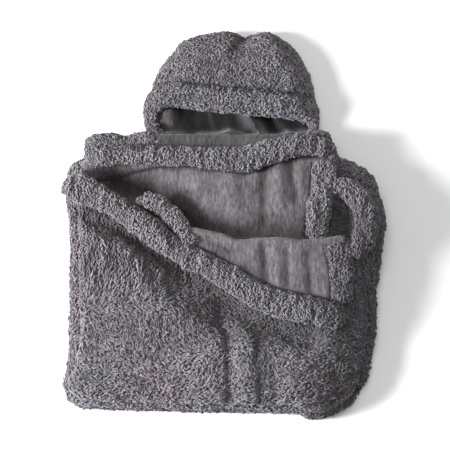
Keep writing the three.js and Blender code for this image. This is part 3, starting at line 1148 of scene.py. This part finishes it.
def stitch_row(name, seam, surfaces):
    """A row of sewn stitches that follows a line on the cloths below it."""
    points = smooth_line(seam, step=STITCH_PITCH)[:, :2]
    heights = height_on(points, surfaces)
    ahead = np.c_[unit(np.gradient(points, axis=0)), np.zeros(len(points))]
    across = np.c_[-ahead[:, 1], ahead[:, 0], np.zeros(len(points))]
    found = ~np.isnan(heights)
    points, ahead, across = np.c_[points, heights][found], ahead[found], across[found]
    columns = []
    for share in np.linspace(-0.5, 0.5, THREAD_SIDES):
        centre = points + ahead * share * STITCH_LENGTH + (0, 0, 0.9 * (1 - 4 * share**2))
        for k in range(THREAD_SIDES):
            angle = 2 * math.pi * k / THREAD_SIDES
            around = across * math.cos(angle) + (0, 0, math.sin(angle))
            columns.append(centre + around * THREAD_RADIUS * (1 - 1.2 * share**2))
    vertices = np.stack(columns, axis=1)
    one = np.array([f for f in tube_faces(THREAD_SIDES, THREAD_SIDES) if len(f) == 4])
    quads = (one[None] + np.arange(len(points))[:, None, None] * len(columns)).reshape(-1, 4)
    triangles = np.concatenate([quads[:, [0, 1, 2]], quads[:, [0, 2, 3]]])
    return fast_mesh(name, vertices.reshape(-1, 3), triangles)


def make_hem(
    name, line, nodes, seam=None, surfaces=(), bends=False, lift=0.0,
    height=HEM_HEIGHT,
):
    """A turned hem with its pile, and the row of stitches beside it. The flap's hems grow pile all round
    and are left without a body.
    """
    cloth = hem_roll(name + "_cloth", line, lift, height)
    grown = flap_grown if bends else hem_grown
    pile = grow_pile(cloth, HEM_LOCKS, hem_lay, grown, clump=2.4, lift=3.0, shade=hem_crease_painted_shade)
    body = None if bends else "root"
    finish(cloth, SHADED_GROUND, body, nodes)
    finish(pile, HEM_PILE, body)
    pieces = [cloth, pile]
    if seam is not None:
        stitches = stitch_row(name + "_stitches", seam, surfaces)
        pieces.append(finish(stitches, THREAD, body))
    if bends:
        bend_with_flap(*pieces)


def bend_with_flap(*pieces):
    for piece in pieces:
        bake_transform(piece)


def make_hems(facing, flap):
    make_hem(
        "front_hem", FRONT_HEM, ["front_hem_side", "front_hem_corner"],
        FRONT_SEAM, [facing, flap], bends=True, lift=0.8, height=19,
    )
    make_hem("neck_hem", NECK_HEM, ["neck_hem"], seam=NECK_SEAM, surfaces=[facing])
    make_hem("facing_hem", FACING_HEM, ["facing_hem"], seam=FACING_SEAM, surfaces=[facing])
    make_hem("inner_hem", INNER_HEM, ["inner_hem"], height=16)
    make_hem("side_hem", SIDE_HEM, ["side_hem"], height=17)
    make_hem(
        "flap_edge_hem", FLAP_HEM, ["flap_edge_hem"], FLAP_SEAM, [flap],
        bends=True,
    )


# -------- the flap


def flap_outline():
    """The turned-back corner: from the tuck at the top down under the front hem's line."""
    hem = smooth_line(FRONT_HEM, step=12)[:, :2]
    lower = hem[(hem[:, 1] < -48) & (hem[:, 0] < 176)]
    top = np.array(FLAP_TOP_EDGE, float)[::-1]
    return np.concatenate([lower, [(177, -150), (178, -100), (182, -60)], top])


FLAP_BUMPS = [
    (-3.2, 6, [(62, -50), (66, -105)]),
    (2.4, 7, [(50, -50), (47, -100)]),
    (-2.6, 5, [(98, -50), (100, -110)]),
    (2.0, 7, [(82, -50), (86, -110)]),
    (-2.6, 7, [(130, -60), (134, -120)]),
    (-2.8, 7, [(10, -55), (-20, -40)]),
]


def flap_heights(points):
    """The tuck's rolled top edge and the streaky folds that run down from it."""
    rolled = 6.0 * bell(distance_to(points, FLAP_TOP_EDGE) - 7, 8)
    plan = points * LENGTHWAYS
    return bumps(points, FLAP_BUMPS, rolled) + 0.7 * ripple(plan, 15, 91) + 0.4 * ripple(plan, 6, 92)


def flat_top(points):
    return 0


def flap_underside(points, normals):
    return normals[:, 2] < -0.6


def make_flap():
    """The free corner: its lining with the folds on top, and a layer of fleece under it."""
    low, high = (corner[2] for corner in box_mm("flap_facing"))
    outline = flap_outline()
    cloth = laid_slab("flap_lining", outline, low, high, flap_heights, 2.2, settled, gap=3.2)
    paint_shade_in_folds(cloth, flap_heights, 6, (FRONT_SEAM, FLAP_SEAM))
    inner = inset(smooth_line(outline, True, 12), 5)
    under = laid_slab("flap_fleece_cloth", inner, low, low + 3, flat_top, 1.8, settled)
    pile = grow_pile(under, (4.2, 7.0, 2.4), any_way, flap_underside, clump=0.6, lift=1.0)
    finish(cloth, LINING, None, ["flap_facing", "flap_tuck"])
    finish(under, SHADED_GROUND, None)
    finish(pile, PILE, None)
    bend_with_flap(cloth, under, pile)
    return cloth


# -------- the neck and shoulders


SHOULDER_WIDTH = 27
SHOULDER_BACK = 138
SHOULDER_STATIONS = 24


def shoulder_grown(points, normals):
    """Pile shows on top of a shoulder and behind it, and parts over the crease at the neck."""
    outside = (normals[:, 2] > 0) | (normals[:, 1] > 0)
    return outside & (lump(points, NECK_CREASE, 4) < 0.4)


def make_shoulder(node, bulge, flat, longer=0):
    """A fleece roll at the back of a shoulder."""
    low, high = box_mm(node)
    xs = np.linspace(low[0] + 2, high[0] - 2 + longer, SHOULDER_STATIONS)
    middle = (SHOULDER_BACK - SHOULDER_WIDTH / 2 + 1, (low[2] + high[2]) / 2)
    centres = np.c_[xs, np.tile(middle, (SHOULDER_STATIONS, 1))]
    sides, ups = plan_frames(centres)
    size = round_ends(centres, 8)
    extra = bell(xs - bulge, 16)
    widths = SHOULDER_WIDTH * size * (0.88 + 0.3 * extra)
    heights = (high[2] - low[2] - 3) * (0.6 + 0.4 * size) * (0.95 + 0.4 * extra)
    cloth = roll(node + "_cloth", centres, sides, ups, widths, heights, 24, 0.5)
    roughen(cloth, [(22, 1.6), (9, 0.8)], 101)
    cover(cloth, (3.0, 7.5, 2.6), any_way, shoulder_grown, node, flat, "back_cloth", shade=hem_crease_painted_shade)


def facing_back(points, normals):
    return normals[:, 1] > 0.4


def make_neck():
    make_shoulder("right_shoulder", -120, (125, 68), 14)
    make_shoulder("left_shoulder", 150, (54, 72))
    low, high = box_mm("back_neck_panel")
    cloth = soft_slab("back_neck_cloth", rectangle(low, high, 4), low[2], high[2], rounding=5, voxel=5)
    roughen(cloth, [(24, 0.6)], 111)
    cover(
        cloth, (3.6, 6.5, 2.4), any_way, facing_back, "back_neck_panel", (230, 44), "back_cloth",
        clump=1.0, lift=1.0,
    )
    low, high = box_mm("neck_facing")
    outline = rectangle(low - (10, 0, 0), high + (4, 0, 0), 6)
    facing = soft_slab("neck_facing_lining", outline, low[2], high[2] + 3, voxel=3)
    vertices = vertices_of(facing)
    share = step_up(vertices[:, 2], low[2], high[2])
    waves = 1.2 * ripple(vertices * (0.5, 1, 0), 14, 112) + 0.5 * ripple(vertices * IN_PLAN, 5, 113)
    vertices[:, 2] += share * waves
    set_vertices(facing, vertices)
    finish(facing, SHADED_LINING, "root", ["neck_facing"])


# -------- the hood

HOOD_BACK = [
    (-117, 166), (-117, 195), (-113, 222), (-106, 248), (-93, 272), (-67, 302), (-45, 314), (2, 322),
    (22, 318), (32, 312), (44, 317), (65, 320), (86, 313), (109, 295), (125, 273), (136, 247), (142, 222),
    (143, 192), (140, 163),
]
HOOD_MIDDLE = 12
HOOD_HALF = 128
HOOD_PEAK = HOOD_TOP - 5
MOUTH_FROM = [(-117, 184), (-87, 192), (-48, 187), (17, 180), (85, 175), (118, 173), (138, 168)]
HOOD_THICKNESS = 8
LINING_THICKNESS = 3
BRIM_WIDTH = 33
BRIM_THICK = 16
BRIM_FOOT_RIGHT = [(-104, 142, 50), (-109, 150, 36), (-114, 166, 18)]
BRIM_FOOT_LEFT = [(141, 158, 18), (136, 144, 36), (131, 136, 50)]
# The floor of the hood is closed by this line at the neck.
HOOD_FRONT = [(128, 146), (60, 148), (12, 147), (-60, 149), (-103, 146)]
HOOD_BUMPS = [
    (-2.5, 8, [(32, 306), (24, 292), (12, 278)]),
    (2.5, 20, [(0, 285), (-30, 270)]),
    (2.5, 20, [(66, 285), (90, 262)]),
    (-2.0, 9, [(-20, 262), (30, 258), (90, 236)]),
]


def hood_grid(across, back, shrink=0.0):
    """Points of the hood's dome: from the mouth's arch (row 0) down to the outline behind it."""
    outline = smooth_line(HOOD_BACK, step=2.0)
    rows = []
    s = np.linspace(0, 1, across)
    foot = np.stack([np.interp(s, np.linspace(0, 1, len(outline)), outline[:, k]) for k in range(2)], 1)
    arch_x = HOOD_MIDDLE - (HOOD_HALF - shrink) * np.cos(math.pi * s)
    outwards = np.abs((arch_x - HOOD_MIDDLE) / HOOD_HALF)
    arch_z = (HOOD_PEAK - shrink) * np.clip(1 - outwards**3.2, 0, 1) ** (1 / 2.6)
    mouth = np.asarray(MOUTH_FROM, float)
    arch_y = np.interp(arch_x, mouth[:, 0], mouth[:, 1])
    centre = np.array([HOOD_MIDDLE, 220.0])
    foot = foot - unit(foot - centre) * shrink
    for v in np.linspace(0, 1, back):
        angle = v * math.pi / 2
        share = math.sin(angle) ** 0.95
        drop = math.cos(angle) ** 0.6 if v < 1 else 0.0
        x = arch_x + (foot[:, 0] - arch_x) * share
        y = arch_y + (foot[:, 1] - arch_y) * share
        rows.append(np.c_[x, y, np.maximum(arch_z * drop, 0.5 + shrink * 0.4)])
    return np.array(rows)


def grid_faces(rows, columns):
    return [
        (r * columns + c, r * columns + c + 1, (r + 1) * columns + c + 1, (r + 1) * columns + c)
        for r in range(rows - 1) for c in range(columns - 1)
    ]


def crease_hood(points):
    """The crease between the crown's two lobes, its soft lumps, and the groove behind the brim."""
    behind = distance_to(points, MOUTH_FROM)
    under_brim = 7.5 * step_up(-behind, -BRIM_WIDTH - 8, -BRIM_WIDTH)
    groove = 4 * bell(behind - BRIM_WIDTH - 3, 4)
    rise = bumps(points, HOOD_BUMPS) - (under_brim + groove)
    return rise + 2.0 * ripple(points, 42, 121) + 1.0 * ripple(points, 17, 122)


def solid_shell(name, grid, thickness):
    """A cloth of that thickness from a grid of points, closed all round."""
    rows, columns, _ = grid.shape
    shell = from_faces(name, grid.reshape(-1, 3), grid_faces(rows, columns))
    solid = shell.modifiers.new("cloth thickness", "SOLIDIFY")
    solid.thickness = thickness * MM
    solid.offset = -1
    apply_modifiers(shell)
    hold_above(shell, FLOOR_GAP)
    return shell


def hood_lay(points):
    """Locks run across the crown, and every way lower down."""
    crown = step_up(points[:, 1], 235, 285)
    return np.zeros(len(points)), 0.5 + 2.0 * (1 - crown)


def make_hood_shell():
    """The hood's two crown panels, which meet along its middle."""
    grid = hood_grid(97, 40)
    rows, columns, _ = grid.shape
    points = grid.reshape(-1, 3)
    normal = unit(np.cross(np.gradient(grid, axis=1), np.gradient(grid, axis=0))).reshape(-1, 3)
    normal *= np.where(normal[:, 2:] < 0, -1, 1)
    rim = np.clip(points[:, 2:] / 15, 0, 1)
    grid = (points + normal * crease_hood(points)[:, None] * rim).reshape(rows, columns, 3)
    half = columns // 2
    for side, part in (("right", grid[:, : half + 1]), ("left", grid[:, half:])):
        cloth = solid_shell(f"hood_{side}_cloth", part, HOOD_THICKNESS)
        cover(
            cloth, (2.7, 6.4, 2.4), hood_lay, hood_outside, f"hood_{side}_panel", (160, 186),
            "hood_floor_cloth", "hood", 0.8, shade=hood_painted_shade,
        )


def hood_painted_shade(points):
    """Painted shade in the pile along the seam behind the brim and in the crease of the crown; the hood is
    also painted darker on its left and lighter on its right, against the key lamp from the left.
    """
    behind = distance_to(points, MOUTH_FROM)
    seam = 0.85 * bell(behind - BRIM_WIDTH - 1, 4.5)
    # Painted light and shade: darker to the left of the middle, lighter to the right.
    sideways = -0.002 * (points[:, 0] - HOOD_MIDDLE)
    return seam + sideways + 0.25 * lump(points, [(33, 314), (24, 296), (8, 276)], 6)


def hood_outside(points, normals):
    """Faces of the hood that look outwards."""
    away = points - np.array([HOOD_MIDDLE, 205.0, 0.0])
    return (np.sum(unit(away) * normals, axis=1) > 0.15) & (points[:, 1] > 170)


def brim_line():
    """The brim's centre line: up from the neck at one side, over the face opening and down again."""
    grid = hood_grid(73, 40)
    steps = np.linalg.norm(np.diff(grid, axis=0), axis=2)
    along = np.concatenate([np.zeros((1, grid.shape[1])), np.cumsum(steps, axis=0)])
    arch = []
    for c in range(grid.shape[1]):
        reach = min(BRIM_WIDTH / 2, along[-1, c] * 0.6)
        arch.append([np.interp(reach, along[:, c], grid[:, c, k]) for k in range(3)])
    arch = np.array(arch)
    arch = arch[arch[:, 2] > 16]
    return smooth_line(np.concatenate([BRIM_FOOT_RIGHT, arch[::3], BRIM_FOOT_LEFT]), step=5)


def make_brim():
    centres = brim_line()
    ahead = unit(np.gradient(centres, axis=0))
    outward = (centres - np.array([HOOD_MIDDLE, 0, -30])) * (1, 0, 1)
    ups = unit(outward - ahead * np.sum(outward * ahead, axis=1, keepdims=True))
    sides = np.cross(ahead, ups)
    size = round_ends(centres, 12)
    foot = 0.4 + 0.6 * step_up(centres[:, 1], 150, 185)
    widths, heights = BRIM_WIDTH * size * foot, BRIM_THICK * (0.5 + 0.5 * size)
    cloth = roll("hood_brim_cloth", centres, sides, ups, widths, heights)
    roughen(cloth, [(24, 1.5), (10, 0.7)], 131)
    hold_above(cloth, 1.0)
    cover(
        cloth, (3.0, 7.4, 2.7), any_way, brim_outside, "hood_brim", (42, 400), "hood_floor_cloth",
        "hood", hem=True, clump=2.2, lift=2.8, shade=hood_painted_shade,
    )


def brim_outside(points, normals):
    away = points - np.array([HOOD_MIDDLE, 190.0, 5.0])
    return np.sum(unit(away) * normals, axis=1) > -0.25


def floor_rim(points, normals):
    """The edge of the hood's floor, behind its mouth."""
    return (points[:, 1] > 175) & (np.abs(normals[:, 2]) < 0.8)


def make_hood_lining():
    grid = hood_grid(73, 30, shrink=13)
    points = grid.reshape(-1, 3)
    fold = 2.2 * np.sin(points[:, 0] / 7.5) * np.clip(points[:, 2:].ravel() / 20, 0, 1)
    points[:, 1] += fold * 0.6
    points[:, 2] = np.maximum(points[:, 2] - np.abs(fold) * 0.5, 14)
    lining = solid_shell("hood_lining_cloth", points.reshape(grid.shape), LINING_THICKNESS)
    finish(lining, SHADED_LINING, "hood", ["hood_lining"])


def make_hood_floor():
    line = smooth_line(np.array(HOOD_BACK + HOOD_FRONT, float), closed=True)
    floor = soft_slab("hood_floor_cloth", inset(line, 3), 0.5, 8.8, voxel=6)
    cover(
        floor, (4.2, 7, 2.5), any_way, floor_rim, "hood_back_panel", (265, 160), "pale_floor", "hood",
        0.8, clump=0.8,
    )
    lining = soft_slab("hood_floor_lining", inset(line, 22), 9.2, 13.2, voxel=2.4)
    roughen(lining, [(30, 0.6)], 141)
    finish(lining, SHADED_LINING, "hood", ["hood_back_lining"])


# The lining from the neck down into the hood, as y and z in millimetres.
NECK_SLOPE = [
    (130, 63), (135, 62), (141, 56), (145, 44), (150, 30), (159, 20), (175, 16), (196, 15), (216, 15),
]
NECK_LEFT, NECK_RIGHT = -108, 134


def neck_folds(xs, share):
    """Folds of the lining that stand up inside the mouth of the hood; they lean down to the right."""
    lean = 30 * (0.5 - share)
    rise = 19 * bell(xs + 80 - lean, 19) + 3 * bell(xs + 14 - lean, 4)
    return rise + 24 * bell(xs - 50 - 1.6 * lean, 14) + 7 * bell(xs - 92 - lean, 9)


def make_hood_neck():
    """The panel that joins the hood to the neck, sloping down from the neck into the hood."""
    slope = smooth_line(NECK_SLOPE, step=3)
    shares = np.linspace(0, 1, len(slope))
    xs = np.linspace(NECK_LEFT, NECK_RIGHT, 121)
    rows = []
    for share, (y, z) in zip(shares, slope):
        rise = neck_folds(xs, share) * step_up(share, 0.04, 0.42)
        pucker = 1.0 * np.sin(xs / 8 + 3 * share) + 0.6 * np.sin(xs / 3.7 - 2 * share)
        sway = step_up(share, 0, 0.1) * (2.6 * np.sin(xs / 19 + 1) + 1.2 * np.sin(xs / 7))
        rows.append(np.c_[xs, y + sway - 0.3 * rise, z + 0.9 * rise + pucker])
    panel = solid_shell("hood_neck_cloth", np.array(rows), LINING_THICKNESS)
    # Painted shade: the lining is painted darker down into the mouth of the hood, less on the folds that
    # stand up into the light.
    at = vertices_of(panel)
    share = np.interp(at[:, 1], slope[:, 0], shares)
    lit = np.clip(neck_folds(at[:, 0], share) / 22, 0, 0.7)
    paint(panel, "painted_fold_shade", step_up(share, 0.01, 0.2) * (1 - lit))
    finish(panel, SHADED_LINING, None, ["hood_neck_panel"])
    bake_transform(panel)


# -------- floor, light and camera

WORLD_STRENGTH = 0.36
# Each lamp's name, place, target, size and energy in metres and watts, and its colour.
LAMPS = [
    ("key", (-2.95, -0.6, 1.6), (0, 0, 0.05), 1.1, 350, (0.985, 0.985, 1.0)),
    ("top", (0.0, 0.4, 3.0), (0, 0, 0), 2.0, 40, (1.0, 1.0, 1.0)),
]
CAMERA_LENS = 200
CAMERA_SENSOR = 36
CAMERA_AIM = Vector((0.0015, -0.0166, 0.085))
CAMERA_ELEVATION = math.radians(75)
CAMERA_DISTANCE = 3.872


def make_stage():
    bpy.ops.mesh.primitive_plane_add(size=8, location=(0, 0, 0))
    floor = bpy.context.object
    floor.name = "pale_floor"
    floor.data.materials.append(floor_material())


def look_at(obj, target):
    obj.rotation_euler = (target - obj.location).to_track_quat("-Z", "Y").to_euler()
    bpy.context.scene.collection.objects.link(obj)


def add_area_light(name, place, target, size, energy, colour):
    data = bpy.data.lights.new(name, "AREA")
    data.energy = energy
    data.size = size
    data.color = colour
    lamp = bpy.data.objects.new(name, data)
    lamp.location = place
    look_at(lamp, Vector(target))


def make_light():
    world = bpy.data.worlds.new("soft_room")
    world.use_nodes = True
    background = world.node_tree.nodes["Background"]
    background.inputs["Color"].default_value = (1.0, 1.0, 1.0, 1)
    background.inputs["Strength"].default_value = WORLD_STRENGTH
    bpy.context.scene.world = world
    for lamp in LAMPS:
        add_area_light(*lamp)
    bpy.context.scene.view_settings.view_transform = "Standard"


def make_camera():
    data = bpy.data.cameras.new("camera")
    data.lens = CAMERA_LENS
    data.sensor_width = CAMERA_SENSOR
    camera = bpy.data.objects.new("camera", data)
    away = Vector((0, -math.cos(CAMERA_ELEVATION), math.sin(CAMERA_ELEVATION)))
    camera.location = CAMERA_AIM + CAMERA_DISTANCE * away
    look_at(camera, CAMERA_AIM)
    bpy.context.scene.camera = camera


make_camera()
make_stage()
make_light()
make_back()
make_folds()
make_hidden_plies()
make_front_panel()
make_side_panel()
make_hems(make_facing(), make_flap())
make_neck()
make_hood_shell()
make_brim()
make_hood_lining()
make_hood_floor()
make_hood_neck()
